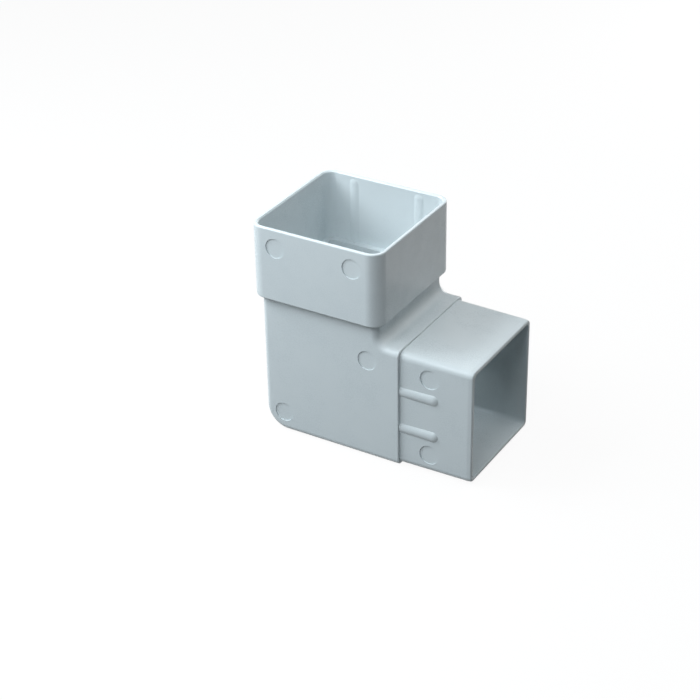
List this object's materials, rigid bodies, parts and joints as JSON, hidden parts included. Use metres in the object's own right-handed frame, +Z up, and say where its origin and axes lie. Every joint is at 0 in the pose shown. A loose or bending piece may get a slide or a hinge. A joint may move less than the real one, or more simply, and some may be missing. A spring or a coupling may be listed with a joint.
{
  "type": "square downspout elbow",
  "caption": "Right-angle elbow for square downspouts, moulded in grey plastic, with a wide socket collar above and a ribbed spigot to the side.",
  "frame": {"origin": "on the socket's axis, in the plane of the flat underside", "axes": "+X along the spigot towards its mouth, +Z up along the socket's axis towards its rim, Y across the elbow"},
  "size_m": [0.1158, 0.07, 0.1118],
  "materials": {
    "grey_plastic": "semi-gloss moulded surface, light blue-grey"
  },
  "bodies": {
    "root": {"elbow": "grey_plastic"}
  },
  "joints": []
}
